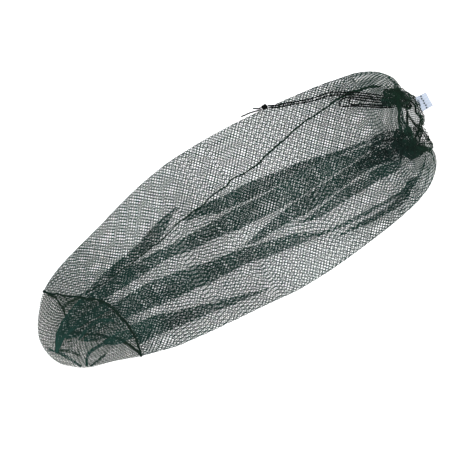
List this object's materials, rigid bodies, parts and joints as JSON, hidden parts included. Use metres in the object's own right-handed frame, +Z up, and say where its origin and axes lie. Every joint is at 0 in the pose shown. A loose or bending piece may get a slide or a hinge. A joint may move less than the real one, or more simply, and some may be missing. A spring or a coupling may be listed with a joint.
{
  "type": "keepnet",
  "caption": "Fine-mesh drawstring keepnet lying empty: a long folded tube with a round base and a gathered hem drawn up by a knotted cord.",
  "frame": {"origin": "middle of the bounding box on the floor, cord left out", "axes": "+X along the net from its base to its mouth, +Y towards the side that the knot lies on, +Z up from the floor"},
  "size_m": [0.8439, 0.33, 0.0595],
  "materials": {
    "mesh_polyester": "dark green knitted mesh of spun yarn, matte",
    "overlock_thread": "darker green overlock stitching, matte",
    "drawstring_cord": "black braided cord, slight sheen",
    "label_satin": "plain white woven satin, blank"
  },
  "bodies": {
    "root": {"net_body": "mesh_polyester", "base_panel": "mesh_polyester", "base_seam": "overlock_thread", "side_seam": "overlock_thread", "drawstring_casing_run": "drawstring_cord", "drawstring_strand_upper": "drawstring_cord", "drawstring_strand_lower": "drawstring_cord", "drawstring_slack_outer": "drawstring_cord", "drawstring_slack_inner": "drawstring_cord", "drawstring_tail_short": "drawstring_cord", "drawstring_tail_long": "drawstring_cord", "drawstring_knot": "drawstring_cord", "label": "label_satin"}
  },
  "joints": []
}
